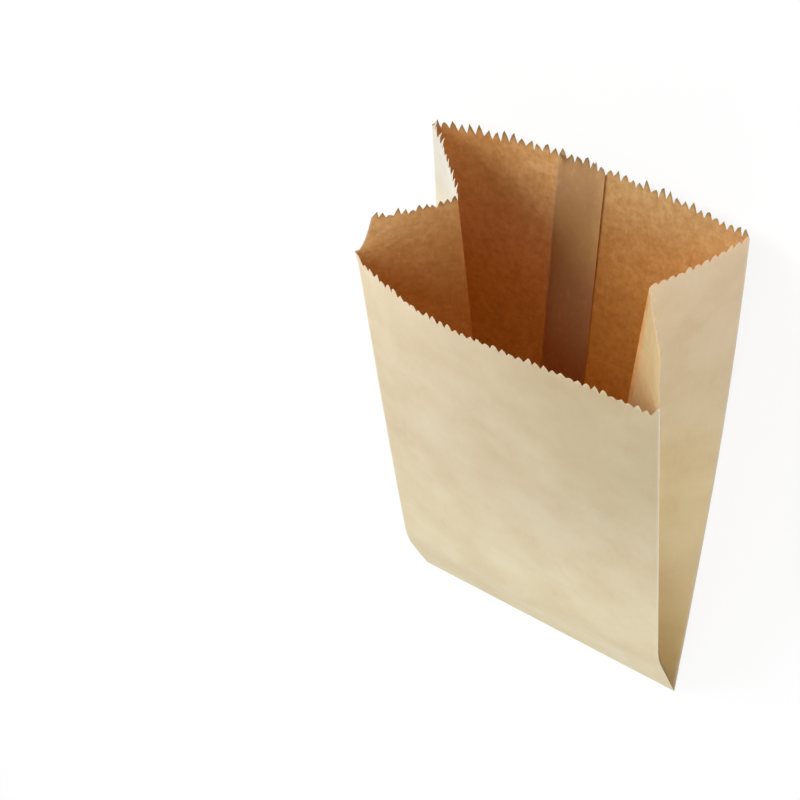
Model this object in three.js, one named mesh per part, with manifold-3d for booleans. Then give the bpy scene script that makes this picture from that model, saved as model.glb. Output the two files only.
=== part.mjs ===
// Brown paper lunch bag: one folded and glued sheet of kraft paper, opened and lying on its back panel.
// Millimetres, +Z up. X runs across the bag, Y from the bottom fold to the mouth.

import * as THREE from 'three';
import { mergeVertices } from 'three/addons/utils/BufferGeometryUtils.js';
import Module from 'manifold-3d';

// Cut and folded size of the sheet
const bagWidth = 180;
const backLength = 340;
const lipCut = 35;
const gussetHalf = 54;
const paper = 0.15;
const toothPitch = 4.5;
const toothHeight = 3.6;

// Long glued seam, a lap inside the back panel, counted in teeth from the left fold
const lapFirstTooth = 15;
const lapLastTooth = 21;

// Bottom end, folded over and glued to the back
const flapLength = 20;
const flapThickness = 3 * paper;
const pinchLength = 3;

// How the opened bag lies: flat at the back below, the front panel sloping up with a soft bend
const flatLength = 150;
const bendLength = { left: 48.5, right: 73 };
const bendRound = 12;
const bottomSlope = THREE.MathUtils.degToRad(29.4);
const mouthSlope = THREE.MathUtils.degToRad(13.7);

// How the paper bows at the mouth, where the right side stands open wider than the left
const frontBow = 9.3;
const backInset = { left: 1, right: 3.8 };
const frontInset = { left: 1, right: -0.4 };
const cornerLift = { left: 15, right: 9 };
const cornerRise = { left: -7, right: 0 };

// Corners of the lip, where the folds are left standing above it, and the loose gusset edges over them
const lipCorner = { left: 6.5, right: 9.5 };
const cornerFlare = { left: 1.2, right: 0 };
const flareLength = 15;
const lipLean = { left: 12.4, right: 2.6 };
const lipDrop = { left: 2, right: 5.2 };
const lipLeanPower = 0.6;

// Inner creases of the side gussets at the mouth
const creaseOut = { left: 6.5, right: 1.5 };
const creaseLift = { left: 3.8, right: 0 };
const creaseDrop = { left: 5.8, right: 0 };
const creaseOutLength = 90;
const gussetBow = { left: { back: 1, front: 1.2 }, right: { back: -1.5, front: 0 } };

// Derived lengths
const halfWidth = bagWidth / 2;
const frontLength = backLength - lipCut;
const frontValley = frontLength - toothHeight;
const backValley = backLength - toothHeight;
const toothStrip = 6;
const foldGap = 2 * paper;
const foldHeight = flapThickness + 3.5 * paper;
const panelTeeth = Math.round(bagWidth / toothPitch);
const gussetTeeth = Math.round(gussetHalf / toothPitch);

// Rows of the sheet, as distances from the bottom fold along the paper
const lowerRows = [pinchLength, flapLength, 36, 43, 49, 55, 62, 68, 75, 82, 96, 120, flatLength];
const frontRows = [...lowerRows, 180, 210, 240, 270, frontValley - toothStrip];
const cornerRows = {
  left: [frontValley, frontValley + lipCorner.left],
  right: [frontValley, frontValley + lipCorner.left, frontValley + lipCorner.right],
};
const backRows = [...frontRows, ...cornerRows.right, backValley - toothStrip];

const sideName = (side) => (side < 0 ? 'left' : 'right');

// Front panel in side view: a straight lower part, a soft bend and a straight run past the lip.
// The bend lies further from the bottom on the right, where the bag stands open wider.
function makeFrontProfile(x) {
  const bendAt = THREE.MathUtils.lerp(bendLength.left, bendLength.right, (x / halfWidth + 1) / 2);
  const lower = new THREE.Vector2(Math.cos(bottomSlope), Math.sin(bottomSlope));
  const upper = new THREE.Vector2(Math.cos(mouthSlope), Math.sin(mouthSlope));
  const start = new THREE.Vector2(0, foldHeight);
  const bend = start.clone().addScaledVector(lower, bendAt);
  const before = bend.clone().addScaledVector(lower, -bendRound);
  const after = bend.clone().addScaledVector(upper, bendRound);
  const end = bend.clone().addScaledVector(upper, backLength - bendAt);
  const profile = new THREE.Path();
  profile.moveTo(start.x, start.y);
  profile.lineTo(before.x, before.y);
  profile.quadraticCurveTo(bend.x, bend.y, after.x, after.y);
  profile.lineTo(end.x, end.y);
  return profile;
}

const frontProfiles = new Map();

// Point of that side view at a length along the paper, for a place across the bag
function frontProfile(x, v) {
  if (!frontProfiles.has(x)) frontProfiles.set(x, makeFrontProfile(x));
  const profile = frontProfiles.get(x);
  return profile.getPoint(Math.min(1, v / profile.getLength()));
}

// Share of the way from the bottom flap, below which the paper stays straight, to a length further up
const shareAbove = (v, length) => Math.max(0, (v - flapLength) / (length - flapLength));

// Place across the bag, drawn in a little where the panels bow towards the mouth
const drawnIn = (x, v, inset) => x * (1 - (inset[sideName(x)] / halfWidth) * shareAbove(v, backLength) ** 2);

// Point of the back panel: flat on the ground below, its corners lifted towards the mouth
function backPoint(x, v) {
  const open = Math.max(0, (v - flatLength) / (backLength - flatLength));
  const lift = cornerLift[sideName(x)] * open ** 2 * (x / halfWidth) ** 2;
  const step = flapThickness * (1 - THREE.MathUtils.smoothstep(v, flapLength, 2 * flapLength));
  return new THREE.Vector3(drawnIn(x, v, backInset), v, paper / 2 + step + lift);
}

// Point of the front panel, bowed outwards between its two folds and more so towards the mouth
function frontPoint(x, v) {
  const across = x / halfWidth;
  const open = shareAbove(v, frontLength);
  const bow = frontBow * open ** 1.3 * (1 - across ** 2);
  const rise = THREE.MathUtils.lerp(cornerRise.left, cornerRise.right, (across + 1) / 2) * open ** 1.5;
  const flat = frontProfile(x, v);
  return new THREE.Vector3(
    drawnIn(x, v, frontInset),
    flat.x - bow * Math.sin(mouthSlope),
    flat.y + bow * Math.cos(mouthSlope) + rise,
  );
}

// Point of a front fold line; above the lip's corner it is the loose edge of the gusset, which leans inwards
function frontFold(side, v) {
  const point = frontPoint(side * halfWidth, v);
  const corner = frontValley + lipCorner[sideName(side)];
  const loose = Math.max(0, (v - corner) / (backValley - corner));
  const flared = Math.max(0, 1 - Math.max(0, corner - v) / flareLength) ** 2;
  point.x += side * cornerFlare[sideName(side)] * flared;
  point.x -= side * lipLean[sideName(side)] * loose ** lipLeanPower;
  point.z -= lipDrop[sideName(side)] * loose;
  return point;
}

// Point of the front panel by its share across, from the right fold to the left one
function frontAcross(s, v) {
  if (s === 0) return frontFold(1, v);
  if (s === 1) return frontFold(-1, v);
  return frontPoint((0.5 - s) * bagWidth, v);
}

// Fold points of one side gusset: its two halves keep their width, which places the inner crease
function gussetFolds(side, v) {
  const back = backPoint(side * halfWidth, v);
  const front = frontFold(side, v);
  const up = front.clone().sub(back).normalize();
  const backEnd = back.clone().addScaledVector(up, foldGap);
  const frontEnd = front.clone().addScaledVector(up, -foldGap);
  const halfSpread = backEnd.distanceTo(frontEnd) / 2;
  const inward = new THREE.Vector3(-side, 0, 0);
  inward.addScaledVector(up, -inward.dot(up)).normalize();
  const mouth = Math.max(0, (v - backLength + creaseOutLength) / creaseOutLength) ** 2;
  const depth = Math.sqrt(gussetHalf ** 2 - halfSpread ** 2) - creaseOut[sideName(side)] * mouth;
  const crease = backEnd.clone().lerp(frontEnd, 0.5).addScaledVector(inward, depth);
  crease.y -= creaseDrop[sideName(side)] * mouth;
  crease.z += creaseLift[sideName(side)] * mouth;
  const creaseBack = crease.clone().addScaledVector(up, -foldGap / 2);
  const creaseFront = crease.clone().addScaledVector(up, foldGap / 2);
  return { back, backEnd, creaseBack, creaseFront, frontEnd, front };
}

// Straight strip of paper between two fold lines of a gusset
const between = (side, from, to) => (s, v) => {
  const folds = gussetFolds(side, v);
  return folds[from].clone().lerp(folds[to], s);
};

// Half of a gusset, bowed towards the inside of the bag as the mouth opens
const bowed = (side, from, to, half) => (s, v) => {
  const folds = gussetFolds(side, v);
  const point = folds[from].clone().lerp(folds[to], s);
  const normal = folds[to].clone().sub(folds[from]).cross(new THREE.Vector3(0, 1, 0)).normalize();
  const bow = gussetBow[sideName(side)][half] * (v / backLength) ** 2 * 4 * s * (1 - s);
  return point.addScaledVector(normal, -side * Math.sign(normal.x) * bow);
};

// Paper sheet collected as a triangle mesh without thickness
class PaperSheet {
  constructor() {
    this.points = [];
    this.keys = new Map();
    this.triangles = [];
  }

  vertex(point) {
    const key = point.toArray().map((value) => Math.round(value * 1e4)).join(',');
    if (!this.keys.has(key)) {
      this.keys.set(key, this.points.length);
      this.points.push(point);
    }
    return this.keys.get(key);
  }

  triangle(a, b, c) {
    if (a !== b && b !== c && c !== a) this.triangles.push([a, b, c]);
  }

  // One panel from a point function of s across and v along, with an optional row of teeth at its top.
  // The columns are given in teeth, or as 0 and 1 where the panel has none. The rows of a corner, where
  // the cut edge runs up to a fold, stand above the first or the last column.
  addPanel({ at, rows, columns, valley = null, firstCorner = [], lastCorner = [] }) {
    const last = columns[columns.length - 1];
    const base = rows[rows.length - 1];
    const column = (count, v) => this.vertex(at(count / last, v));
    for (let j = 0; j + 1 < columns.length; j += 1) {
      for (let i = 0; i + 1 < rows.length; i += 1) {
        const a = column(columns[j], rows[i]);
        const b = column(columns[j], rows[i + 1]);
        const c = column(columns[j + 1], rows[i + 1]);
        const d = column(columns[j + 1], rows[i]);
        this.triangle(a, b, c);
        this.triangle(a, c, d);
      }
      if (valley !== null) {
        const before = columns[j] === 0 ? firstCorner : [];
        const after = columns[j + 1] === last ? lastCorner : [];
        this.addTeeth(column, columns[j], columns[j + 1], base, valley, before, after);
      }
    }
  }

  // Zigzag cut edge between two columns, joined to the last straight row below it
  addTeeth(column, first, last, base, valley, before, after) {
    const left = column(first, base);
    const right = column(last, base);
    const start = before.length > 0 ? first + 1 : first;
    const end = after.length > 0 ? last - 1 : last;
    const edge = [];
    for (let step = 0; step <= 2 * (end - start); step += 1) {
      const tip = step % 2 === 1 ? toothHeight : 0;
      edge.push(column(start + step / 2, valley + tip));
    }
    const middle = Math.floor(edge.length / 2);
    for (let k = 0; k + 1 < edge.length; k += 1) {
      this.triangle(k < middle ? left : right, edge[k], edge[k + 1]);
    }
    this.triangle(left, edge[middle], right);
    this.addCorner([base, ...before].map((v) => column(first, v)), edge[0]);
    this.addCorner([...after].reverse().concat(base).map((v) => column(last, v)), edge[edge.length - 1]);
  }

  // Corner beside the first or last valley, a fan from that valley to the points of the fold
  addCorner(side, valleyPoint) {
    for (let k = 0; k + 1 < side.length; k += 1) this.triangle(side[k], side[k + 1], valleyPoint);
  }

  // Offset that keeps the paper's thickness on every face that meets at each point
  offsets() {
    const empty = () => ({ matrix: new Array(9).fill(0), vector: new THREE.Vector3(), count: 0 });
    const sums = this.points.map(empty);
    const corner = new THREE.Triangle();
    const normal = new THREE.Vector3();
    for (const [a, b, c] of this.triangles) {
      corner.set(this.points[a], this.points[b], this.points[c]).getNormal(normal);
      for (const id of [a, b, c]) {
        const sum = sums[id];
        const n = normal.toArray();
        for (let k = 0; k < 9; k += 1) sum.matrix[k] += n[Math.floor(k / 3)] * n[k % 3];
        sum.vector.add(normal);
        sum.count += 1;
      }
    }
    const steady = 0.05;
    return sums.map(({ matrix, vector, count }) => {
      const held = steady * count;
      const solve = new THREE.Matrix3().set(...matrix.map((value, k) => value + (k % 4 === 0 ? held : 0)));
      const mean = vector.clone().normalize();
      return vector.addScaledVector(mean, held).applyMatrix3(solve.invert());
    });
  }

  // Closed geometry of the sheet with its thickness, half on each side, and a cut face along every open edge
  thicken() {
    const count = this.points.length;
    const offsets = this.offsets();
    const outer = this.points.map((point, k) => point.clone().addScaledVector(offsets[k], paper / 2));
    const inner = this.points.map((point, k) => point.clone().addScaledVector(offsets[k], -paper / 2));
    const faces = [];
    const edges = new Map();
    for (const [a, b, c] of this.triangles) {
      faces.push(a, b, c, count + c, count + b, count + a);
      for (const [from, to] of [[a, b], [b, c], [c, a]]) {
        if (edges.has(`${to},${from}`)) edges.delete(`${to},${from}`);
        else edges.set(`${from},${to}`, [from, to]);
      }
    }
    for (const [from, to] of edges.values()) {
      faces.push(to, from, count + from, to, count + from, count + to);
    }
    const geometry = new THREE.BufferGeometry();
    const positions = [...outer, ...inner].flatMap((point) => point.toArray());
    geometry.setAttribute('position', new THREE.Float32BufferAttribute(positions, 3));
    geometry.setIndex(faces);
    return geometry;
  }
}

const everyFew = (total, step) => {
  const columns = [];
  for (let count = 0; count < total; count += step) columns.push(count);
  return [...columns, total];
};

// The tube of paper, panel after panel round the bag from the left back fold
function makeTube() {
  const tube = new PaperSheet();
  const wide = everyFew(panelTeeth, 4);
  const fold = [0, 1];
  const allRows = [...backRows, backValley];
  const foldRows = { left: [...frontRows, ...cornerRows.left], right: [...frontRows, ...cornerRows.right] };
  const back = { rows: backRows, columns: wide, valley: backValley };
  const corners = { firstCorner: cornerRows.right, lastCorner: cornerRows.left };
  const front = { rows: frontRows, columns: wide, valley: frontValley, ...corners };
  const half = { rows: backRows, columns: everyFew(gussetTeeth, 3), valley: backValley };
  tube.addPanel({ at: (s, v) => backPoint((s - 0.5) * bagWidth, v), ...back });
  tube.addPanel({ at: between(1, 'back', 'backEnd'), rows: allRows, columns: fold });
  tube.addPanel({ at: bowed(1, 'backEnd', 'creaseBack', 'back'), ...half });
  tube.addPanel({ at: between(1, 'creaseBack', 'creaseFront'), rows: allRows, columns: fold });
  tube.addPanel({ at: bowed(1, 'creaseFront', 'frontEnd', 'front'), ...half });
  tube.addPanel({ at: between(1, 'frontEnd', 'front'), rows: foldRows.right, columns: fold });
  tube.addPanel({ at: frontAcross, ...front });
  tube.addPanel({ at: between(-1, 'front', 'frontEnd'), rows: foldRows.left, columns: fold });
  tube.addPanel({ at: bowed(-1, 'frontEnd', 'creaseFront', 'front'), ...half });
  tube.addPanel({ at: between(-1, 'creaseFront', 'creaseBack'), rows: allRows, columns: fold });
  tube.addPanel({ at: bowed(-1, 'creaseBack', 'backEnd', 'back'), ...half });
  tube.addPanel({ at: between(-1, 'backEnd', 'back'), rows: allRows, columns: fold });
  return tube.thicken();
}

// Second layer of paper inside the back panel, where the sheet's two long edges lap and are glued
function makeLap() {
  const lap = new PaperSheet();
  const sunk = 0.1 * paper;
  const shortened = 0.4;
  const start = lapFirstTooth * toothPitch - halfWidth;
  const lapTeeth = lapLastTooth - lapFirstTooth;
  const at = (s, v) => {
    const point = backPoint(start + s * lapTeeth * toothPitch, v - shortened);
    point.z += paper - sunk;
    return point;
  };
  lap.addPanel({ at, rows: backRows, columns: everyFew(lapTeeth, 3), valley: backValley });
  return lap.thicken();
}

// Pinched bottom: the closed end of the tube with its glued flap, one profile run across the bag
function makeBottom() {
  const round = 2 * paper;
  const backMiddle = flapThickness + paper / 2;
  const pinchEnd = frontProfile(0, pinchLength + round);
  const profile = new THREE.Shape();
  profile.moveTo(flapLength, 0);
  profile.lineTo(flapLength, backMiddle);
  profile.lineTo(pinchEnd.x, backMiddle);
  profile.lineTo(pinchEnd.x, pinchEnd.y);
  profile.lineTo(round, foldHeight + round * Math.tan(bottomSlope));
  profile.quadraticCurveTo(0, foldHeight, 0, foldHeight - round);
  profile.lineTo(0, round);
  profile.quadraticCurveTo(0, 0, round, 0);
  const across = { depth: bagWidth + 2 * paper, bevelEnabled: false, curveSegments: 4 };
  const bottom = new THREE.ExtrudeGeometry(profile, across);
  bottom.rotateX(Math.PI / 2);
  bottom.rotateZ(Math.PI / 2);
  bottom.translate(-halfWidth - paper, 0, 0);
  return bottom;
}

const wasm = await Module();
wasm.setup();

// Closed geometry as a solid that can be joined
function toSolid(geometry) {
  const bare = geometry.clone();
  bare.deleteAttribute('normal');
  bare.deleteAttribute('uv');
  const merged = mergeVertices(bare, 1e-4);
  const mesh = new wasm.Mesh({
    numProp: 3,
    vertProperties: new Float32Array(merged.attributes.position.array),
    triVerts: new Uint32Array(merged.index.array),
  });
  return new wasm.Manifold(mesh);
}

function toGeometry(solid) {
  const mesh = solid.getMesh();
  const geometry = new THREE.BufferGeometry();
  geometry.setAttribute('position', new THREE.BufferAttribute(mesh.vertProperties, 3));
  geometry.setIndex(new THREE.BufferAttribute(mesh.triVerts, 1));
  geometry.computeVertexNormals();
  return geometry;
}

const kraftPaper = new THREE.MeshStandardMaterial({ color: 0xcfb78c, roughness: 0.85, metalness: 0 });
const folded = toSolid(makeTube()).add(toSolid(makeLap())).add(toSolid(makeBottom()));

const paperBag = new THREE.Mesh(toGeometry(folded), kraftPaper);
paperBag.name = 'paper_bag';
paperBag.position.set(0, -backLength / 2, 0);

const lunchBag = new THREE.Group();
lunchBag.add(paperBag);

export default lunchBag;
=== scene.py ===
import bpy
import math
import random
import numpy as np
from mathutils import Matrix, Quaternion, Vector


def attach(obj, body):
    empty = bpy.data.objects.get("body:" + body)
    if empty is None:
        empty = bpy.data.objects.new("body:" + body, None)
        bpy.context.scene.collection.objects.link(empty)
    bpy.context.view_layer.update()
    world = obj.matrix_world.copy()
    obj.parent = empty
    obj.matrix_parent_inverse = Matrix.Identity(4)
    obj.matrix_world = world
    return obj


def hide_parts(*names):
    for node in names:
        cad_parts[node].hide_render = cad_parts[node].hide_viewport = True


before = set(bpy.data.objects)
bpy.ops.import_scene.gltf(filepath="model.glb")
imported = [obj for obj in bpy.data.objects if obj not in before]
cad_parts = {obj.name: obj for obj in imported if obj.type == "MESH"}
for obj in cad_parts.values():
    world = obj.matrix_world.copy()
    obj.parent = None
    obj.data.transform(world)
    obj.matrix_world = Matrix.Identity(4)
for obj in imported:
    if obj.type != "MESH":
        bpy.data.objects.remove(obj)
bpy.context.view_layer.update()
mm = 0.001
print("frame loaded:", ", ".join(sorted(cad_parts)))

# the sheet as it is cut and folded, in millimetres
bagSheet = {
    "width": 180.0,
    "backLength": 340.0,
    "lipCut": 35.0,             # how much lower the front is cut
    "gussetHalf": 54.0,
    "paper": 0.15,
    "toothPitch": 4.5,
    "toothHeight": 3.6,
    "toothStrip": 6.0,          # height of the strip below the teeth that follows them
    "lapEnds": (-22.5, 4.5),    # x of the outer and the inner end of the sheet, on the back panel
    "seamSkew": 4.5,            # how far the seam has drifted at the bottom
    "flapLength": 20.0,
    "columnsPerTooth": 4,
    "samePlace": 0.01,          # what is nearer than this lies at one place
}

# how the opened bag lies, in millimetres and degrees, with -1 for its left side and 1 for its right
bagLie = {
    "flatLength": 150.0,
    "bendLength": {-1: 48.5, 1: 73.0},
    "bendRound": 12.0,
    "bottomSlope": 29.4,
    "mouthSlope": 13.7,
    "frontBow": 9.3,
    "bowPower": 1.3,
    "lipWave": 3.5,                         # fuller on the left of the lip, flatter on the right
    "backInset": {-1: 1.0, 1: 3.8},
    "frontInset": {-1: 1.0, 1: -0.4},
    "cornerLift": {-1: 15.0, 1: 9.0},
    "cornerRise": {-1: -7.0, 1: 0.0},
    "risePower": 1.5,
    "lipCorner": {-1: 6.5, 1: 9.5},         # how far the folds stand above the lip
    "cornerFlare": {-1: 1.2, 1: 0.0},
    "flareLength": 15.0,
    "lipLean": {-1: 12.4, 1: 2.6},
    "lipDrop": {-1: 2.0, 1: 5.2},
    "lipLeanPower": 0.6,
    "creaseOut": {-1: 2.0, 1: 0.0},
    "creaseLift": {-1: -2.0, 1: 0.0},
    "creaseDrop": {-1: 6.0, 1: 3.0},
    "creaseOutLength": 130.0,
    "creasePower": 1.5,
    "gussetBow": {-1: {"back": 1.0, "front": 1.2}, 1: {"back": -1.5, "front": 0.0}},
    "flapSteps": 3,                         # layers of paper that the flap lifts the back by
    "foldSteps": 3.5,                       # layers from there up to the front at the bottom fold
}

halfWidth = bagSheet["width"] / 2
backLength = bagSheet["backLength"]
frontLength = backLength - bagSheet["lipCut"]
backValley = backLength - bagSheet["toothHeight"]
frontValley = frontLength - bagSheet["toothHeight"]
paper = bagSheet["paper"]
gussetHalf = bagSheet["gussetHalf"]
samePlace = bagSheet["samePlace"]
flapLift = bagLie["flapSteps"] * paper
foldHeight = flapLift + bagLie["foldSteps"] * paper
bottomSlope = math.radians(bagLie["bottomSlope"])
mouthSlope = math.radians(bagLie["mouthSlope"])

# places along the sheet where its panels meet, from the inner lap end round to the outer one
leftBackFold = bagSheet["lapEnds"][1] + halfWidth
leftCrease = leftBackFold + gussetHalf
leftFrontFold = leftCrease + gussetHalf
rightFrontFold = leftFrontFold + bagSheet["width"]
rightCrease = rightFrontFold + gussetHalf
rightBackFold = rightCrease + gussetHalf
sheetWidth = rightBackFold + halfWidth - bagSheet["lapEnds"][0]
sheetFolds = [leftBackFold, leftCrease, leftFrontFold, rightFrontFold, rightCrease, rightBackFold]
lapWidth = bagSheet["lapEnds"][1] - bagSheet["lapEnds"][0]


# from 0 at the first place to 1 at the second, which may lie on either side
def smoothStep(x, none, full):
    t = np.clip((x - none) / (full - none), 0, 1)
    return t * t * (3 - 2 * t)


def bySide(x, values):
    return np.where(x < 0, values[-1], values[1])


# share of the way from the flap, below which the paper stays straight, to a length further up
def shareAbove(v, length):
    return np.maximum(0, (v - bagSheet["flapLength"]) / (length - bagSheet["flapLength"]))


def drawnIn(x, v, inset):
    return x * (1 - bySide(x, inset) / halfWidth * shareAbove(v, backLength) ** 2)


def backPoints(x, v):
    x, v = np.broadcast_arrays(np.asarray(x, float), np.asarray(v, float))
    opened = np.maximum(0, (v - bagLie["flatLength"]) / (backLength - bagLie["flatLength"]))
    lift = bySide(x, bagLie["cornerLift"]) * opened ** 2 * (x / halfWidth) ** 2
    step = flapLift * smoothStep(v, 2 * bagSheet["flapLength"], bagSheet["flapLength"])
    return np.stack([drawnIn(x, v, bagLie["backInset"]), v, paper / 2 + step + lift], -1)


# side view of the front panel: straight, a soft bend, straight
def frontProfile(x, v):
    share, roundness = (x / halfWidth + 1) / 2, bagLie["bendRound"]
    bend = bagLie["bendLength"][-1] * (1 - share) + bagLie["bendLength"][1] * share
    low, high = np.minimum(v, bend), np.maximum(0, v - bend)
    y = math.cos(bottomSlope) * low + math.cos(mouthSlope) * high
    z = foldHeight + math.sin(bottomSlope) * low + math.sin(mouthSlope) * high
    t = np.clip((v - bend + roundness) / (2 * roundness), 0, 1)
    turned = roundness * (t * t - np.maximum(0, 2 * t - 1))     # from the corner towards the curve
    y = y + turned * (math.cos(mouthSlope) - math.cos(bottomSlope))
    z = z + turned * (math.sin(mouthSlope) - math.sin(bottomSlope))
    return y, z


def frontPoints(x, v):
    x, v = np.broadcast_arrays(np.asarray(x, float), np.asarray(v, float))
    across = x / halfWidth
    opened = shareAbove(v, frontLength)
    bow = bagLie["frontBow"] * opened ** bagLie["bowPower"] * (1 - across ** 2)
    bow = bow - bagLie["lipWave"] * opened ** 2 * np.sin(math.pi * across)
    left, right = bagLie["cornerRise"][-1], bagLie["cornerRise"][1]
    rise = (left + (right - left) * (across + 1) / 2) * opened ** bagLie["risePower"]
    y, z = frontProfile(x, v)
    x = drawnIn(x, v, bagLie["frontInset"])
    return np.stack([x, y - bow * math.sin(mouthSlope), z + bow * math.cos(mouthSlope) + rise], -1)


# front fold line, and above the lip's corner the loose edge of the gusset
def frontFold(side, v):
    points = frontPoints(side * halfWidth, v)
    corner = frontValley + bagLie["lipCorner"][side]
    loose = np.maximum(0, (v - corner) / (backValley - corner))
    flared = np.maximum(0, 1 - np.maximum(0, corner - v) / bagLie["flareLength"]) ** 2
    points[..., 0] += side * bagLie["cornerFlare"][side] * flared
    points[..., 0] -= side * bagLie["lipLean"][side] * loose ** bagLie["lipLeanPower"]
    points[..., 2] -= bagLie["lipDrop"][side] * loose
    return points


def unit(vectors):
    return vectors / np.linalg.norm(vectors, axis=-1, keepdims=True)


# inner crease of a side gusset, as deep as its two halves reach
def creasePoints(side, back, v):
    guide = frontPoints(side * halfWidth, v)        # where the front fold would run if it were not loose
    apart = np.linalg.norm(guide - back, axis=-1)
    up = unit(guide - back)
    inward = np.zeros_like(up)
    inward[..., 0] = -side
    inward = unit(inward - (inward * up).sum(-1, keepdims=True) * up)
    mouth = np.maximum(0, (v - backLength) / bagLie["creaseOutLength"] + 1) ** bagLie["creasePower"]
    depth = np.sqrt(np.maximum(0, gussetHalf ** 2 - (apart / 2) ** 2))
    depth = depth - bagLie["creaseOut"][side] * mouth
    crease = (back + guide) / 2 + inward * depth[..., None]
    crease[..., 1] -= bagLie["creaseDrop"][side] * mouth
    crease[..., 2] += bagLie["creaseLift"][side] * mouth
    return crease


# one half of a side gusset, s from its outer fold to the inner crease
def gussetPoints(side, half, s, v):
    back = backPoints(side * halfWidth, v)
    crease = creasePoints(side, back, v)
    outer = back if half == "back" else frontFold(side, v)
    normal = unit(np.cross(crease - outer, (0.0, 1.0, 0.0)))
    normal *= -side * np.sign(normal[..., :1])
    bow = bagLie["gussetBow"][side][half] * (v / backLength) ** 2 * 4 * s * (1 - s)
    return outer + (crease - outer) * s[..., None] + normal * bow[..., None]


# rows of the grid along the bag in millimetres, closer together at the fold, the bend and the cut edges
gridRows = {
    "flap": [-20, -17, -14, -8, -3, -1.4, -0.95, -0.5],
    "bottom": [0, 0.8, 2, 4, 7, 11, 15, 20, 25, 30, 34, 37, 40, 43, 46, 49, 52, 55, 58, 62, 67],
    "panel": [74 + 8 * k for k in range(28)],
    "aboveLip": [305, 310, 315, 320, 325],
    "stripSteps": 3,            # rows in the strip below the teeth
}


def sheetRows():
    steps = gridRows["stripSteps"]
    strip = [-bagSheet["toothStrip"] * (1 - k / steps) for k in range(steps + 1)]
    lip = gridRows["panel"] + [frontValley + drop for drop in strip]
    mouth = gridRows["aboveLip"] + [backValley + drop for drop in strip]
    return np.array(gridRows["flap"] + gridRows["bottom"] + lip + mouth, float)


def readPoints(mesh):
    flat = np.zeros(len(mesh.vertices) * 3)
    mesh.vertices.foreach_get("co", flat)
    return flat.reshape(-1, 3)


def writePoints(mesh, points):
    mesh.vertices.foreach_set("co", points.ravel())
    mesh.update()


def deselectAll():
    if bpy.context.mode != "OBJECT":
        bpy.ops.object.mode_set(mode="OBJECT")
    bpy.ops.object.select_all(action="DESELECT")


# the flat sheet: a grid, its rows spread as listed, and the front cut away above the lip
def cutSheet():
    rows = sheetRows()
    columns = round(sheetWidth / bagSheet["toothPitch"]) * bagSheet["columnsPerTooth"]
    deselectAll()
    bpy.ops.mesh.primitive_grid_add(x_subdivisions=columns, y_subdivisions=len(rows) - 1, size=1)
    sheet = bpy.context.object
    sheet.name = sheet.data.name = "lunch_bag"
    points = readPoints(sheet.data) + 0.5           # the grid now runs from 0 to 1
    rowOf = np.rint(points[:, 1] * (len(rows) - 1)).astype(int)
    points[:, 0] = np.rint(points[:, 0] * columns) * sheetWidth / columns
    points[:, 1] = rows[rowOf]
    points[:, 2] = 0
    writePoints(sheet.data, points)
    bpy.ops.object.mode_set(mode="EDIT")
    bpy.ops.mesh.select_mode(type="FACE")
    bpy.ops.mesh.select_all(action="DESELECT")
    bpy.ops.object.mode_set(mode="OBJECT")
    for face in sheet.data.polygons:
        u, v = face.center[0], face.center[1]
        face.select = leftFrontFold < u < rightFrontFold and v > frontValley
    bpy.ops.object.mode_set(mode="EDIT")
    bpy.ops.mesh.delete(type="FACE")
    bpy.ops.object.mode_set(mode="OBJECT")
    print("sheet cut:", len(sheet.data.polygons), "faces")
    return sheet


# the zigzag cut on each stretch of the sheet, in millimetres, and flanks as a share of the height
toothLook = {
    "seed": 7,
    "back": {
        "height": (2.4, 5.8), "valley": (-1.9, 0.2), "flank": (0.4, 0.8),
        "lean": 0.9, "bend": (-0.7, 0.7),
    },
    "front": {
        "height": (1.6, 4.2), "valley": (-0.9, 0.5), "flank": (0.4, 0.85),
        "lean": 0.6, "bend": (-0.5, 0.5),
    },
    "right": {
        "height": (1.9, 3.0), "valley": (-0.6, 0.2), "flank": (0.65, 0.92),
        "lean": 0.4, "bend": (-0.3, 0.3),
    },
    "leftFront": {
        "height": (1.2, 5.0), "valley": (-1.2, 0.6), "flank": (0.35, 0.85),
        "lean": 0.9, "bend": (-0.8, 0.8),
    },
    "leftBack": {
        "height": (3.0, 6.0), "valley": (-1.2, 0.2), "flank": (0.2, 0.6),
        "lean": 0.6, "bend": (-2.4, -0.4),
    },
    "bentTooth": {"number": 5, "height": 4.4, "bend": -3.2},    # pushed in, by the seam
    "flankLean": 0.4,           # how far the flanks go with the tip
    "flankBend": 0.3,
}


def stretchOf(u):
    if leftFrontFold < u < rightFrontFold:
        return "front"
    if u < leftBackFold or u > rightBackFold:
        return "back"
    if u > rightFrontFold:
        return "right"
    return "leftBack" if u < leftCrease else "leftFront"


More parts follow.
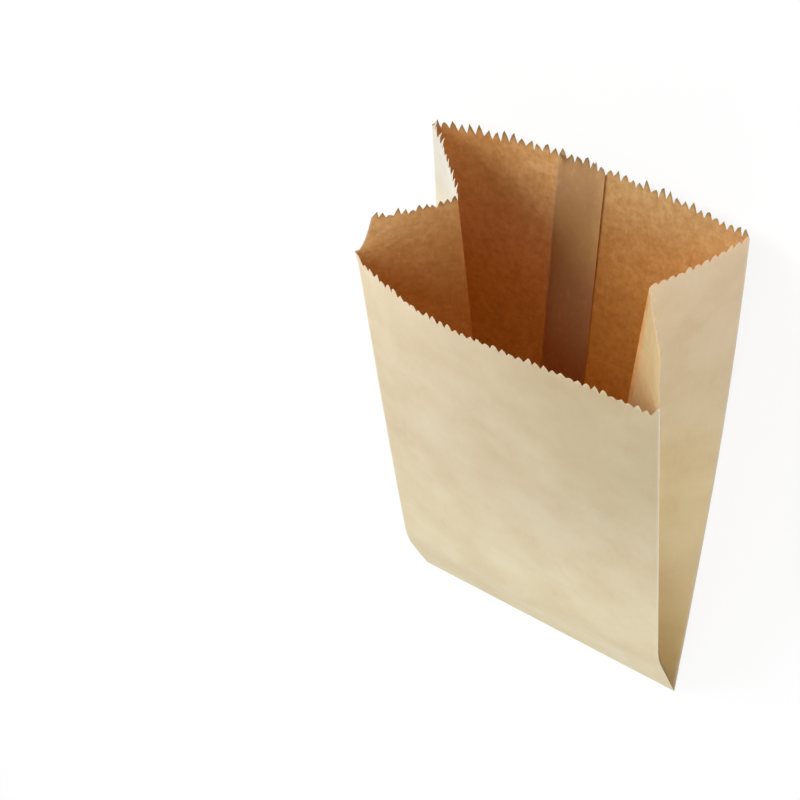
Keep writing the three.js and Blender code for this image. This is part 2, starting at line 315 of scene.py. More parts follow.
# height, lean and bend of the cut edge above its valleys for every column
def toothEdge():
    dice = random.Random(toothLook["seed"])
    pitch, perTooth = bagSheet["toothPitch"], bagSheet["columnsPerTooth"]
    teeth, middle = round(sheetWidth / pitch), perTooth // 2
    edge = np.zeros((teeth * perTooth + 1, 3))
    bent = toothLook["bentTooth"]
    for k in range(teeth):
        look = toothLook[stretchOf((k + 0.5) * pitch)]
        valley, height = dice.uniform(*look["valley"]), dice.uniform(*look["height"])
        lean = dice.uniform(-1, 1) * look["lean"]
        bend = dice.uniform(*look["bend"])
        if k == bent["number"]:
            height, bend = bent["height"], bent["bend"]
        first = k * perTooth
        edge[first, 0] += valley
        for column in (middle - 1, middle + 1):
            flank = valley + (height - valley) * dice.uniform(*look["flank"])
            edge[first + column] = (flank, lean * toothLook["flankLean"], bend * toothLook["flankBend"])
        edge[first + middle] = (height, lean, bend)
    for fold in sheetFolds:
        edge[round(fold / pitch) * perTooth] = 0
    # no tooth where the lip runs up to its corners
    for first in (leftFrontFold, rightFrontFold - pitch):
        column = round(first / pitch) * perTooth
        edge[column:column + perTooth + 1] = 0
    return edge


# how far the move beside a lip corner reaches: in tooth strips along the bag, in teeth across it
cornerReach = {"below": 2, "above": 5, "front": 1, "gusset": 2}


# how far the sheet's rows are moved up beside the lip's corners
def cornerShift(u, v):
    pitch, strip = bagSheet["toothPitch"], bagSheet["toothStrip"]
    above = (v - frontValley) / strip
    rows = 1 - np.abs(above) / np.where(above < 0, cornerReach["below"], cornerReach["above"])
    shift = np.zeros(len(u))
    for side, fold in ((-1, leftFrontFold), (1, rightFrontFold)):
        inFront = (fold - u) * side / pitch
        near = 1 - np.abs(inFront) / np.where(inFront > 0, cornerReach["front"], cornerReach["gusset"])
        shift += bagLie["lipCorner"][side] * np.clip(rows, 0, 1) * np.clip(near, 0, 1)
    return shift


def placeSheet(sheet):
    flat = readPoints(sheet.data)
    u, v = flat[:, 0].copy(), flat[:, 1].copy()
    columnWidth = bagSheet["toothPitch"] / bagSheet["columnsPerTooth"]
    edge = toothEdge()[np.rint(u / columnWidth).astype(int)]
    onLip = (u > leftFrontFold + samePlace) & (u < rightFrontFold - samePlace)
    strip = bagSheet["toothStrip"]
    valley = np.where(onLip, frontValley, backValley)
    follow = np.clip((v - valley + strip) / strip, 0, 1)
    tip = np.where(v > valley - samePlace, edge[:, 0] / bagSheet["toothHeight"], 0)
    v = v + cornerShift(u, v) + follow * edge[:, 0]
    u = u + follow * edge[:, 1]
    bend = follow ** 2 * edge[:, 2]
    points = foldSheet(u, v)
    writePoints(sheet.data, (points - np.array([0, backLength / 2, 0])) * mm)
    return u, v, bend, tip


# height of each layer of the bottom flap above the ground, in millimetres
flapLevels = {
    "front": paper / 2,
    "gussetFront": 0.17,
    "gussetBack": 0.26,
    "backInner": 0.30,
    "backOuter": 0.38,
}


# each part of the sheet, its layer in the flap and its place in the opened bag
def sheetParts(u):
    return [
        (u <= leftBackFold, "backInner",
         lambda u, v: backPoints(bagSheet["lapEnds"][1] - u, v)),
        ((u > leftBackFold) & (u <= leftCrease), "gussetBack",
         lambda u, v: gussetPoints(-1, "back", (u - leftBackFold) / gussetHalf, v)),
        ((u > leftCrease) & (u < leftFrontFold), "gussetFront",
         lambda u, v: gussetPoints(-1, "front", (leftFrontFold - u) / gussetHalf, v)),
        ((u > rightFrontFold) & (u <= rightCrease), "gussetFront",
         lambda u, v: gussetPoints(1, "front", (u - rightFrontFold) / gussetHalf, v)),
        ((u > rightCrease) & (u < rightBackFold), "gussetBack",
         lambda u, v: gussetPoints(1, "back", (rightBackFold - u) / gussetHalf, v)),
        (u >= rightBackFold, "backOuter",
         lambda u, v: backPoints(halfWidth - u + rightBackFold, v)),
        ((u >= leftFrontFold) & (u <= rightFrontFold), "front",
         lambda u, v: frontPoints(u - leftFrontFold - halfWidth, v)),
    ]


# every point of the sheet taken to its place in the opened bag
def foldSheet(u, v):
    points, level = np.zeros((len(u), 3)), np.zeros(len(u))
    up = np.maximum(v, 0)
    for inPart, layer, place in sheetParts(u):
        points[inPart] = place(u[inPart], up[inPart])
        level[inPart] = flapLevels[layer]
    for side, fold in ((-1, leftFrontFold), (1, rightFrontFold)):
        onFold = np.abs(u - fold) < samePlace
        points[onFold] = frontFold(side, up[onFold])
    skewSeam(points, u, up)
    liftLap(points, u, v)
    turnFlap(points, v, level)
    return points


# the seam runs a little askew to the folds
def skewSeam(points, u, up):
    onBack = (u <= leftBackFold) | (u >= rightBackFold)
    askew = bagSheet["seamSkew"] * (1 - up / backLength) * (1 - np.abs(points[:, 0]) / halfWidth)
    points[onBack, 0] += askew[onBack]


# inner end of the lap, on top of the outer one and lifted along its free edge, in millimetres
lapLook = {
    "sheets": 1.1,              # how far it lies above the outer end, in sheets of paper
    "climb": 3.0,
    "edgeWidth": 7.0,
    "edgeAlong": (10, 60),      # where the edge comes free, up the bag
    "edgeLift": 0.35,
    "edgeWaves": [(0.2, 31, 0), (0.12, 11, 1)],     # height, length and start of each
    "mouthLift": 0.5,
    "mouthAlong": (270, 335),
}


def liftLap(points, u, v):
    climbed = np.clip((lapWidth - u) / lapLook["climb"], 0, 1)
    freeEdge = np.clip(1 - u / lapLook["edgeWidth"], 0, 1) ** 2 * smoothStep(v, *lapLook["edgeAlong"])
    lift = lapLook["edgeLift"] + lapLook["mouthLift"] * smoothStep(v, *lapLook["mouthAlong"])
    for height, length, start in lapLook["edgeWaves"]:
        lift = lift + height * np.sin(v / length + start)
    points[:, 2] += lapLook["sheets"] * paper * climbed + freeEdge * lift


# bottom flap, turned under the back, its end cut through all the layers at once
def turnFlap(points, v, level):
    flapped, strip = v < 0, bagSheet["toothStrip"]
    ending = np.clip((strip - bagSheet["flapLength"] - v) / strip, 0, 1)
    zigzag = np.abs(2 * (points[:, 0] / bagSheet["toothPitch"] % 1) - 1) - 0.5
    turn = (points[:, 2] - level) / 2
    angle = np.clip(-v / np.maximum(turn, samePlace), 0, math.pi)
    run = np.maximum(0, -v - math.pi * turn) + ending * zigzag * bagSheet["toothHeight"]
    points[flapped, 1] = (run - turn * np.sin(angle))[flapped]
    points[flapped, 2] = (points[:, 2] - turn * (1 - np.cos(angle)))[flapped]


# painted light and shade: soft lighter and darker patches that stand in for how the light falls, each
# with the stretch of the sheet, its shares of red, green and blue, and where it sets in, from none to
# full along the bag and across the sheet, in millimetres
paintedLightLook = {
    "outside": {
        # painted shade: the right of the front darker towards the lip
        "shadedLip": {
            "on": "front", "tint": (0.82, 0.82, 0.76), "along": [(120, 270)], "across": (256.5, 346.5),
        },
        # painted light: the front paler towards the bottom fold
        "lowFront": {"on": "front", "tint": (1.08, 1.10, 1.08), "along": [(190, 70)]},
        # painted light: the right gusset paler towards the mouth
        "rightGusset": {"on": "rightGusset", "tint": (1.12, 1.08, 0.94), "along": [(290, 150)]},
        # painted shade: the right gusset darker and browner low in its fold
        "rightLow": {"on": "rightGusset", "tint": (0.88, 0.82, 0.66), "along": [(125, 40)]},
        # painted light: the left gusset's back half whiter towards the mouth
        "leftBack": {"on": "leftBackHalf", "tint": (0.90, 1.04, 1.34), "along": [(255, 325)]},
    },
    # painted light and shade inside the bag: each patch paler, deeper or more orange where light or
    # shade falls there
    "inside": {
        "rightTop": {"on": "backRight", "tint": (1.06, 1.28, 1.5), "along": [(300, 334)]},
        "rightDeep": {"on": "backRight", "tint": (1.04, 0.94, 0.60), "along": [(330, 240)]},
        "rightFloor": {"on": "backRight", "tint": (1.22, 1.4, 1.45), "along": [(265, 205)]},
        "leftMiddle": {"on": "backLeft", "tint": (1.12, 1.10, 1.32), "along": [(215, 255), (315, 280)]},
        "besideSeam": {
            "on": "backLeft", "tint": (1.20, 1.30, 1.45), "along": [(235, 275)], "across": (64, 32),
        },
        "seamMiddle": {"on": "seam", "tint": (1.14, 1.18, 1.02), "along": [(262, 285), (320, 300)]},
        "leftGussetTop": {"on": "leftFrontHalf", "tint": (1.0, 1.1, 1.25), "along": [(305, 330)]},
        "leftGussetLow": {"on": "leftFrontHalf", "tint": (1.08, 1.22, 1.5), "along": [(300, 260)]},
    },
}


# painted light and shade stored as colours per point, one set for each face of the paper
def storePaintedLight(mesh, u, v):
    stretches = {
        "front": (u >= leftFrontFold) & (u <= rightFrontFold),
        "rightGusset": (u > rightFrontFold) & (u < rightBackFold),
        "leftBackHalf": (u > leftBackFold) & (u < leftCrease),
        "leftFrontHalf": (u > leftCrease) & (u < leftFrontFold),
        "backRight": u > rightBackFold,
        "backLeft": (u >= lapWidth) & (u < leftBackFold),
        "seam": u < lapWidth,
    }
    for face, looks in paintedLightLook.items():
        colours = np.ones((len(u), 4), np.float32)
        for look in looks.values():
            share = stretches[look["on"]].astype(float)
            for none, full in look["along"]:
                share = share * smoothStep(v, none, full)
            if "across" in look:
                share = share * smoothStep(u, *look["across"])
            colours[:, :3] *= 1 + (np.array(look["tint"]) - 1) * share[:, None]
        attribute = mesh.attributes.new(face + "Tint", "FLOAT_COLOR", "POINT")
        attribute.data.foreach_set("color", colours.ravel())


# where folds, edges and tips differ from the plain sheet, in millimetres
maskLook = {
    "foldWidth": 1.2,           # half width of the pale line along a fold: worn fibres and painted highlight
    "lapEdge": 1.2,             # soft edge of the doubled paper
    "rimHeight": 2.0,           # painted highlight: pale rim below the right gusset's teeth
    "looseWidth": 1.2,
    "paleFade": 10.0,           # painted light on the inside of the right gusset's front half, fading beside the right crease
    "paleLow": 0.7,             # what is left of the painted light further down
    "paleAlong": (270, 320),
}


def storeAttribute(mesh, name, values):
    attribute = mesh.attributes.new(name, "FLOAT", "POINT")
    attribute.data.foreach_set("value", np.asarray(values, np.float32))


def foldDistance(u):
    return np.min([np.abs(u - fold) for fold in sheetFolds], axis=0)


def storeMasks(mesh, u, v, tip):
    # pale line along each fold: worn fibres and painted highlight
    storeAttribute(mesh, "foldWearAndHighlight", np.clip(1 - foldDistance(u) / maskLook["foldWidth"], 0, 1))
    # painted shade: greyer over the doubled lap, where two layers let less light through
    storeAttribute(mesh, "doubled", np.clip((lapWidth - u) / maskLook["lapEdge"] + 0.5, 0, 1))
    paleStretch = (u > leftFrontFold + samePlace) & (u < rightBackFold - samePlace)
    # painted highlight on the tooth tips of the front and right gusset, and on the rim below the right
    # gusset's teeth
    rim = np.clip((v - backValley) / maskLook["rimHeight"] + 1, 0, 1) * (u > rightFrontFold)
    storeAttribute(mesh, "oliveTip", np.where(paleStretch, 0, np.clip(tip, 0, 1)))
    storeAttribute(mesh, "paleTipHighlight", np.where(paleStretch, np.clip(np.maximum(tip, rim), 0, 1), 0))
    # pale line along the loose fold edges above the lip: worn fibres and painted highlight
    onLoose = ((u < leftFrontFold + samePlace) | (u > rightFrontFold - samePlace)) & (v > frontValley)
    toFront = np.minimum(np.abs(u - leftFrontFold), np.abs(u - rightFrontFold))
    storeAttribute(mesh, "looseEdge", onLoose * np.clip(1 - toFront / maskLook["looseWidth"], 0, 1))
    # painted light on the inside of the right gusset's front half
    pale = (u > rightFrontFold) * smoothStep(rightCrease - u, 0, maskLook["paleFade"])
    low = maskLook["paleLow"]
    storeAttribute(mesh, "paintedLitHalf", pale * (low + (1 - low) * smoothStep(v, *maskLook["paleAlong"])))


def storeFlatPlace(mesh, u, v):
    layer = mesh.uv_layers.active or mesh.uv_layers.new(name="flatSheet")
    layer.name = "flatSheet"
    loops = np.zeros(len(mesh.loops), int)
    mesh.loops.foreach_get("vertex_index", loops)
    place = np.stack([u[loops], v[loops] + bagSheet["flapLength"]], -1) * mm
    layer.data.foreach_set("uv", place.astype(np.float32).ravel())


# unevenness of the paper: sizes and strengths in metres, places on the sheet in millimetres
paperLook = {
    "softWaves": {"size": 0.060, "strength": 0.0022},
    "smallDents": {"size": 0.018, "strength": 0.0003},
    "dentsAlong": (20, 110),
    "backShare": 0.5,           # the back lies flat, and gives only towards the mouth
    "backAlong": (170, 300),
    "foldCalm": 24,             # the paper stays straight beside a fold
    "sharpAngle": 35,
}


def addDents(bag, name):
    clouds = bpy.data.textures.new(name, "CLOUDS")
    clouds.noise_scale = paperLook[name]["size"]
    clouds.noise_depth = 1
    dents = bag.modifiers.new(name, "DISPLACE")
    dents.texture = clouds
    dents.texture_coords = "LOCAL"
    dents.strength = paperLook[name]["strength"]
    dents.mid_level = 0.5
    dents.vertex_group = "softPaper"
    bpy.ops.object.modifier_apply(modifier=name)


def dentPaper(bag, u, v):
    onBack = (u < leftBackFold) | (u > rightBackFold)
    backSoft = paperLook["backShare"] * smoothStep(v, *paperLook["backAlong"])
    soft = smoothStep(v, *paperLook["dentsAlong"]) * np.where(onBack, backSoft, 1)
    soft = (soft * smoothStep(foldDistance(u), 0, paperLook["foldCalm"])).round(2)
    group = bag.vertex_groups.new(name="softPaper")
    for share in np.unique(soft):
        group.add(np.flatnonzero(soft == share).tolist(), float(share), "REPLACE")
    addDents(bag, "softWaves")
    addDents(bag, "smallDents")
    bag.vertex_groups.clear()


# teeth pushed in or out, and nothing below the ground
def bendTeeth(mesh, bend):
    normals = np.zeros(len(mesh.vertices) * 3)
    mesh.vertices.foreach_get("normal", normals)
    points = readPoints(mesh) + normals.reshape(-1, 3) * (bend * mm)[:, None]
    points[:, 2] = np.maximum(points[:, 2], paper / 2 * mm)
    writePoints(mesh, points)


def thickenPaper(bag):
    for name in ("kraftOutside", "kraftInside", "cutEdge"):
        bag.data.materials.append(kraftMaterial(name))
    wall = bag.modifiers.new("paperWall", "SOLIDIFY")
    wall.thickness = paper * mm
    wall.offset = 0
    wall.material_offset = 1
    wall.material_offset_rim = 2
    bpy.ops.object.modifier_apply(modifier="paperWall")
    bpy.ops.object.shade_smooth_by_angle(angle=math.radians(paperLook["sharpAngle"]))
    print("paper thickened:", len(bag.data.polygons), "faces")


def makeBag():
    bag = cutSheet()
    u, v, bend, tip = placeSheet(bag)
    storeFlatPlace(bag.data, u, v)
    storePaintedLight(bag.data, u, v)
    storeMasks(bag.data, u, v, tip)
    dentPaper(bag, u, v)
    bendTeeth(bag.data, bend)
    print("bag folded")
    thickenPaper(bag)
    return bag


# colours as seen in the light, 0 to 255; outside and inside are one paper, painted as a paler lit copy
# outside and a darker, more orange shaded copy inside
kraftColours = {
    "outsidePale": (239, 228, 196),
    "outsideTan": (227, 209, 172),
    # pale line of worn fibres and painted highlight along folds and loose edges
    "wornAndHighlight": (247, 239, 220),
    # painted shade in the wrinkle lines
    "creaseShade": (196, 178, 142),
    "insideLight": (240, 198, 133),
    "insideDeep": (210, 162, 98),
    "insideDark": (186, 134, 78),
    # painted light on the inside of the right gusset's front half
    "insideLitPale": (209, 221, 178),
    # painted shade: greyer over the doubled lap, where two layers let less light through
    "insideLapShade": (216, 182, 134),
    "fleckPale": (240, 208, 158),
    # painted highlight on the pale tooth tips
    "tipHighlight": (246, 226, 192),
    "tipInside": (146, 136, 98),
    # painted highlight: the cut edges pale
    "cut": (240, 216, 186),
    "through": (245, 190, 110),
    "throughTip": (140, 128, 84),
}


# a colour of the list, turned from screen values into amounts of light
def colour(name):
    def toLinear(c):
        c /= 255
        return c / 12.92 if c <= 0.04045 else ((c + 0.055) / 1.055) ** 2.4
    return (*[toLinear(c) for c in kraftColours[name]], 1)


def addNode(tree, kind, at, **values):
    node = tree.nodes.new(kind)
    node.location = at
    for name, value in values.items():
        if name in node.inputs:
            node.inputs[name].default_value = value
        else:
            setattr(node, name, value)
    return node


def colourSockets(sockets):
    return [socket for socket in sockets if socket.type == "RGBA"]


# a link where the value is another socket, otherwise a constant
def feed(tree, socket, value):
    if isinstance(value, bpy.types.NodeSocket):
        tree.links.new(value, socket)
    else:
        socket.default_value = value


def addMath(tree, operation, at, *values):
    node = addNode(tree, "ShaderNodeMath", at, operation=operation)
    for socket, value in zip(node.inputs, values):
        feed(tree, socket, value)
    return node.outputs[0]


def spread(tree, value, bounds, at):
    node = addNode(tree, "ShaderNodeMapRange", at)
    node.inputs["From Min"].default_value = bounds[0]
    node.inputs["From Max"].default_value = bounds[1]
    tree.links.new(value, node.inputs["Value"])
    return node.outputs["Result"]


def mixColour(tree, share, first, second, at, amount=1.0):
    node = addNode(tree, "ShaderNodeMix", at, data_type="RGBA")
    if amount != 1.0:
        share = addMath(tree, "MULTIPLY", (at[0], at[1] - 250), share, amount)
    tree.links.new(share, node.inputs["Factor"])
    for socket, value in zip(colourSockets(node.inputs), (first, second)):
        feed(tree, socket, value)
    return colourSockets(node.outputs)[0]


# noises of unbleached paper: scale to the metre of sheet, and the bounds that are spread from 0 to 1
fibreLook = {
    "defaults": {"Blotch Scale": 45, "Fibre Scale": 420, "Fleck Level": 0.66},
    "blotch": {"detail": 5.0, "roughness": 0.6, "bounds": (0.3, 0.7)},
    "fibre": {"detail": 4.0, "roughness": 0.65, "bounds": (0.28, 0.72), "stretch": (1, 0.24, 1)},
    "fleck": {
        "scale": 330.0, "detail": 2.0, "roughness": 0.5, "full": 0.78,
        "stretch": (1, 0.5, 1), "turn": 0.5,
    },
    "grain": {"scale": 250.0, "detail": 4.0, "roughness": 0.68, "bounds": (0.42, 0.74)},
    "drift": {"scale": 38.0, "detail": 2.0, "roughness": 0.5, "by": (0.014, 0.014, 0)},
    "patchy": {"scale": 26.0, "detail": 1.0, "roughness": 0.5, "bounds": (0.54, 0.66)},
    "wrinkle": {"scale": 17.0, "bounds": (0.02, 0.0)},
    "heights": {"fibre": 0.6, "wrinkle": -0.5},
}


def addNoise(tree, name, place, at):
    look = fibreLook[name]
    noise = addNode(tree, "ShaderNodeTexNoise", at, Detail=look["detail"], Roughness=look["roughness"])
    if "scale" in look:
        noise.inputs["Scale"].default_value = look["scale"]
    if "stretch" in look:
        mapped = addNode(tree, "ShaderNodeMapping", (at[0] - 250, at[1]), Scale=look["stretch"])
        mapped.inputs["Rotation"].default_value[2] = look.get("turn", 0)
        tree.links.new(place, mapped.inputs["Vector"])
        place = mapped.outputs[0]
    tree.links.new(place, noise.inputs["Vector"])
    return noise


# faint lines where the paper was once creased, broken into short runs
def addWrinkle(tree, place):
    drift = addNoise(tree, "drift", place, (-900, -850))
    drifted = addNode(tree, "ShaderNodeVectorMath", (-650, -850), operation="MULTIPLY_ADD")
    drifted.inputs[1].default_value = fibreLook["drift"]["by"]
    tree.links.new(drift.outputs["Color"], drifted.inputs[0])
    tree.links.new(place, drifted.inputs[2])
    look = fibreLook["wrinkle"]
    cells = addNode(tree, "ShaderNodeTexVoronoi", (-400, -850), feature="DISTANCE_TO_EDGE")
    cells.inputs["Scale"].default_value = look["scale"]
    tree.links.new(drifted.outputs[0], cells.inputs["Vector"])
    line = spread(tree, cells.outputs["Distance"], look["bounds"], (-150, -850))
    patchy = addNoise(tree, "patchy", place, (-400, -1150))
    runs = spread(tree, patchy.outputs[0], fibreLook["patchy"]["bounds"], (-150, -1150))
    return addMath(tree, "MULTIPLY", (100, -900), line, runs)


# blotches, fibres, grain, pale flecks and wrinkles, laid out on the flat sheet
def kraftFibreGroup():
    group = bpy.data.node_groups.get("kraftFibre")
    if group:
        return group
    group = bpy.data.node_groups.new("kraftFibre", "ShaderNodeTree")
    group.interface.new_socket("Sheet Place", in_out="INPUT", socket_type="NodeSocketVector")
    for name, default in fibreLook["defaults"].items():
        socket = group.interface.new_socket(name, in_out="INPUT", socket_type="NodeSocketFloat")
        socket.default_value = default
    for name in ("Blotch", "Fibre", "Grain", "Fleck", "Wrinkle", "Height"):
        group.interface.new_socket(name, in_out="OUTPUT", socket_type="NodeSocketFloat")
    start = addNode(group, "NodeGroupInput", (-1200, 0))
    end = addNode(group, "NodeGroupOutput", (700, 0))
    place = start.outputs["Sheet Place"]
    blotch = addNoise(group, "blotch", place, (-400, 300))
    group.links.new(start.outputs["Blotch Scale"], blotch.inputs["Scale"])
    blotches = spread(group, blotch.outputs[0], fibreLook["blotch"]["bounds"], (-150, 300))
    fibre = addNoise(group, "fibre", place, (-400, 0))
    group.links.new(start.outputs["Fibre Scale"], fibre.inputs["Scale"])
    fibres = spread(group, fibre.outputs[0], fibreLook["fibre"]["bounds"], (-150, 0))
    fleck = addNoise(group, "fleck", place, (-400, -300))
    flecks = spread(group, fleck.outputs[0], (0, fibreLook["fleck"]["full"]), (-150, -300))
    group.links.new(start.outputs["Fleck Level"], flecks.node.inputs["From Min"])
    grain = addNoise(group, "grain", place, (-400, -550))
    grains = spread(group, grain.outputs[0], fibreLook["grain"]["bounds"], (-150, -550))
    wrinkle = addWrinkle(group, place)
    heights = fibreLook["heights"]
    height = addMath(group, "MULTIPLY_ADD", (150, -100), fibres, heights["fibre"], blotches)
    height = addMath(group, "MULTIPLY_ADD", (350, -100), wrinkle, heights["wrinkle"], height)
    for socket, value in zip(end.inputs, (blotches, fibres, grains, flecks, wrinkle, height)):
        group.links.new(value, socket)
    return group


# the three faces of the paper: share of the light that comes through, bump, fibre settings, and
# layers of colour from the base up, each with what it follows, its colour and how strong it is
kraftLook = {
    "kraftOutside": {
        "through": 0.18,
        "bump": 0.25,
        "fibre": {"Blotch Scale": 30},
        "base": "outsideTan",
        "paper": [
            ("Blotch", "outsidePale", 1.0),
            ("Fibre", "outsidePale", 0.35),
            # painted shade along the wrinkle lines, besides their bump
            ("Wrinkle", "creaseShade", 0.1),
        ],
        # painted light and shade over the outside
        "tint": "outsideTint",
        # pale marks: worn fibres and painted highlight along the folds, painted highlight on the tooth
        # tips
        "marksAndHighlights": [
            ("foldWearAndHighlight", "wornAndHighlight", 0.85),
            ("paleTipHighlight", "tipHighlight", 0.85),
        ],
    },
    "kraftInside": {
        "through": 0.36,
        "throughTip": "oliveTip",       # these tips let less light through
        "bump": 0.3,
        "fibre": {"Blotch Scale": 120, "Fleck Level": 0.58},
        # painted shade: the inside is a darker, more orange copy of the outside paper
        "base": "insideDeep",
        "paper": [
            ("Blotch", "insideLight", 1.0),
            ("Fibre", "insideLight", 0.4),
            ("Grain", "insideDark", 0.75),
            ("paintedLitHalf", "insideLitPale", 0.65),
            ("doubled", "insideLapShade", 0.75),
        ],
        # painted light and shade over the inside
        "tint": "insideTint",
        # flecks, worn fibres and painted highlight along the loose edges, painted highlight on the pale
        # tooth tips, and the olive tips
        "marksAndHighlights": [
            ("Fleck", "fleckPale", 0.75),
            ("looseEdge", "wornAndHighlight", 0.8),
            ("paleTipHighlight", "tipHighlight", 0.85),
            ("oliveTip", "tipInside", 0.9),
        ],
    },
    "cutEdge": {
        "through": 0.1,
        "bump": 0.2,
        "fibre": {},
        # painted highlight: the cut edges pale
        "base": "cut",
        "paper": [("Fibre", "outsidePale", 0.5)],
        "marksAndHighlights": [],
    },
}

# gloss, depth of the bump in metres and roughness, which the three faces share
paperFinish = {"specular": 0.25, "bumpDistance": 0.0004, "roughness": (0.74, 0.92)}


def addFibre(tree, shader, look):
    place = addNode(tree, "ShaderNodeUVMap", (-1400, 0), uv_map="flatSheet")
    fibre = addNode(tree, "ShaderNodeGroup", (-1200, 0))
    fibre.node_tree = kraftFibreGroup()
    for name, value in look["fibre"].items():
        fibre.inputs[name].default_value = value
    tree.links.new(place.outputs["UV"], fibre.inputs["Sheet Place"])
    bump = addNode(tree, "ShaderNodeBump", (1000, -300))
    bump.inputs["Strength"].default_value = look["bump"]
    bump.inputs["Distance"].default_value = paperFinish["bumpDistance"]
    tree.links.new(fibre.outputs["Height"], bump.inputs["Height"])
    tree.links.new(bump.outputs["Normal"], shader.inputs["Normal"])
    roughness = addNode(tree, "ShaderNodeMapRange", (1000, -50))
    roughness.inputs["To Min"].default_value = paperFinish["roughness"][0]
    roughness.inputs["To Max"].default_value = paperFinish["roughness"][1]
    tree.links.new(fibre.outputs["Fibre"], roughness.inputs["Value"])
    tree.links.new(roughness.outputs["Result"], shader.inputs["Roughness"])
    return fibre


def readMask(tree, name, at):
    return addNode(tree, "ShaderNodeAttribute", at, attribute_name=name)


def layColours(tree, fibre, tone, layers, left):
    for k, (follows, name, amount) in enumerate(layers):
        at = (left + 200 * k, 300)
        if follows in fibre.outputs:
            share = fibre.outputs[follows]
        else:
            share = readMask(tree, follows, (at[0], 600)).outputs["Fac"]
        tone = mixColour(tree, share, tone, colour(name), at, amount)
    return tone


# the paper colour times the painted light and shade stored per point
def withPaintedLight(tree, tone, name, at):
    node = addNode(tree, "ShaderNodeMix", at, data_type="RGBA", blend_type="MULTIPLY")
    node.inputs["Factor"].default_value = 1
    first, second = colourSockets(node.inputs)
    tree.links.new(tone, first)
    tree.links.new(readMask(tree, name, (at[0], 600)).outputs["Color"], second)
    return colourSockets(node.outputs)[0]


def kraftMaterial(name):
    look = kraftLook[name]
    material = bpy.data.materials.new(name)
    material.use_nodes = True
    tree = material.node_tree
    tree.nodes.clear()
    shader = addNode(tree, "ShaderNodeBsdfPrincipled", (1250, 0))
    shader.inputs["Specular IOR Level"].default_value = paperFinish["specular"]
    fibre = addFibre(tree, shader, look)
    tone = layColours(tree, fibre, colour(look["base"]), look["paper"], -900)
    if "tint" in look:
        tone = withPaintedLight(tree, tone, look["tint"], (100, 300))
    tone = layColours(tree, fibre, tone, look["marksAndHighlights"], 300)
    tree.links.new(tone, shader.inputs["Base Color"])
    through = addNode(tree, "ShaderNodeBsdfTranslucent", (1250, -600), Color=colour("through"))
    if "throughTip" in look:
        tip = readMask(tree, look["throughTip"], (800, -600)).outputs["Fac"]
        glow = mixColour(tree, tip, colour("through"), colour("throughTip"), (1000, -600))
        tree.links.new(glow, through.inputs["Color"])
    both = addNode(tree, "ShaderNodeMixShader", (1550, 0))
    both.inputs["Fac"].default_value = look["through"]
    out = addNode(tree, "ShaderNodeOutputMaterial", (1750, 0))
    tree.links.new(shader.outputs["BSDF"], both.inputs[1])
    tree.links.new(through.outputs["BSDF"], both.inputs[2])
    tree.links.new(both.outputs[0], out.inputs["Surface"])
    return material


studio = {
    "lamps": {      # place as turn and height in degrees, seen from the bag
        "key": {"turn": 150, "height": 30, "power": 19.5},
        "fill": {"turn": 0, "height": 30, "power": 9.0},
        "low": {"turn": 270, "height": 30, "power": 8.8},
    },
    "lampSize": 0.9,
    "lampDistance": 1.35,
    "aim": (0, 0, 0.04),
    "world": 0.12,
    "floorSize": 40.0,
    "floorDrop": 0.0003,
    "floorGrey": 0.85,
    "floorGlow": 1.06,          # what the camera sees of a floor in full light
    "floorGlowShare": 0.8,
}


def addLamp(name, look):
    turn, height = math.radians(look["turn"]), math.radians(look["height"])
    data = bpy.data.lights.new(name, "AREA")
    data.size = studio["lampSize"]
    data.energy = look["power"]
    lamp = bpy.data.objects.new(name, data)
    outward = (math.cos(height) * math.cos(turn), math.cos(height) * math.sin(turn), math.sin(height))
    lamp.location = Vector(outward) * studio["lampDistance"]
    lamp.rotation_euler = (Vector(studio["aim"]) - lamp.location).to_track_quat("-Z", "Y").to_euler()
    bpy.context.scene.collection.objects.link(lamp)


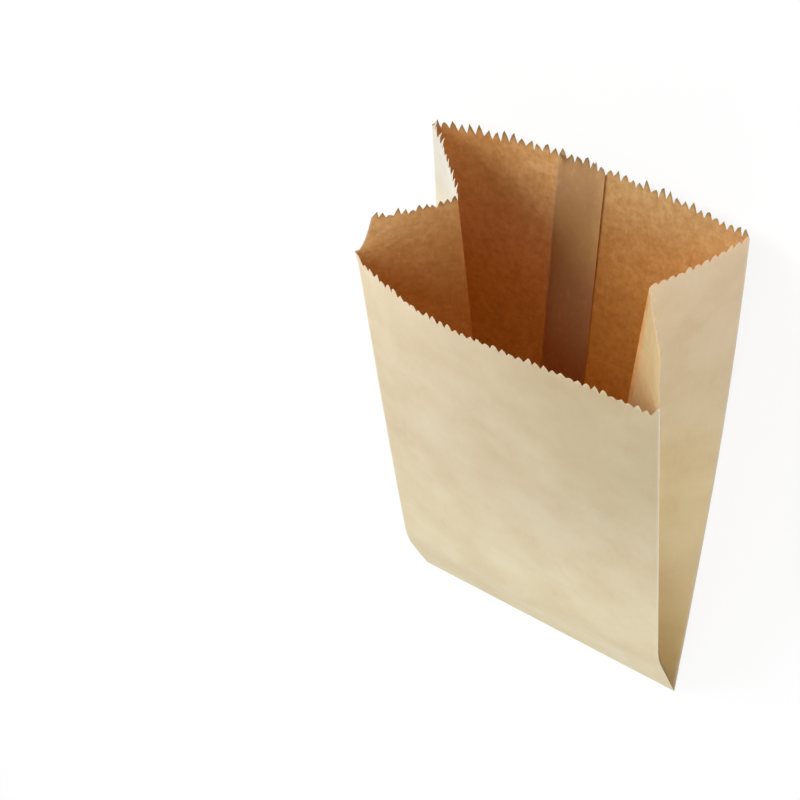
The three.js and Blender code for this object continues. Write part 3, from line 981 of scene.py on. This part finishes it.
# a pale matt floor that looks nearly white to the camera and keeps the shadow
def floorMaterial():
    material = bpy.data.materials.new("floorPale")
    material.use_nodes = True
    tree = material.node_tree
    tree.nodes.clear()
    seen = addNode(tree, "ShaderNodeLightPath", (-900, 300))
    seenBy = seen.outputs["Is Camera Ray"]
    for k, name in enumerate(("Is Glossy Ray", "Is Transmission Ray")):
        seenBy = addMath(tree, "MAXIMUM", (-650 + 200 * k, 300), seenBy, seen.outputs[name])
    share = addMath(tree, "MULTIPLY", (-150, 300), seenBy, studio["floorGlowShare"])
    grey = studio["floorGrey"]
    matt = addNode(tree, "ShaderNodeBsdfDiffuse", (-150, 100))
    matt.inputs["Color"].default_value = (grey, grey, grey, 1)
    glow = addNode(tree, "ShaderNodeEmission", (-150, -100))
    glow.inputs["Strength"].default_value = studio["floorGlow"]
    both = addNode(tree, "ShaderNodeMixShader", (150, 100))
    out = addNode(tree, "ShaderNodeOutputMaterial", (400, 100))
    tree.links.new(share, both.inputs[0])
    tree.links.new(matt.outputs[0], both.inputs[1])
    tree.links.new(glow.outputs[0], both.inputs[2])
    tree.links.new(both.outputs[0], out.inputs["Surface"])
    return material


def makeStudio():
    deselectAll()
    bpy.ops.mesh.primitive_plane_add(size=studio["floorSize"], location=(0, 0, -studio["floorDrop"]))
    floor = bpy.context.object
    floor.name = "studioFloor"
    floor.data.materials.append(floorMaterial())
    for name, look in studio["lamps"].items():
        addLamp(name, look)
    world = bpy.data.worlds.new("studioWorld")
    world.use_nodes = True
    world.node_tree.nodes["Background"].inputs["Color"].default_value = (1, 1, 1, 1)
    world.node_tree.nodes["Background"].inputs["Strength"].default_value = studio["world"]
    bpy.context.scene.world = world
    bpy.context.scene.view_settings.view_transform = "Standard"
    print("studio lit")


# the photograph looks down on the open bag, with its bottom fold turned towards the foot of the picture
cameraView = {
    "place": (0.31102, 0.62429, 0.62688),
    "aim": (-0.11453, -0.04426, 0.0),
    "roll": -132.906,
    "lens": 75.37,
    "sensor": 36.0,
}


def makeCamera():
    data = bpy.data.cameras.new("photoCamera")
    data.lens = cameraView["lens"]
    data.sensor_width = cameraView["sensor"]
    camera = bpy.data.objects.new("photoCamera", data)
    look = Vector(cameraView["aim"]) - Vector(cameraView["place"])
    turned = Quaternion((0, 0, 1), math.radians(cameraView["roll"]))
    camera.location = cameraView["place"]
    camera.rotation_euler = (look.to_track_quat("-Z", "Y") @ turned).to_euler()
    bpy.context.scene.collection.objects.link(camera)
    bpy.context.scene.camera = camera
    print("camera placed")


makeStudio()
makeCamera()
bag = makeBag()
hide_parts("paper_bag")
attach(bag, "root")
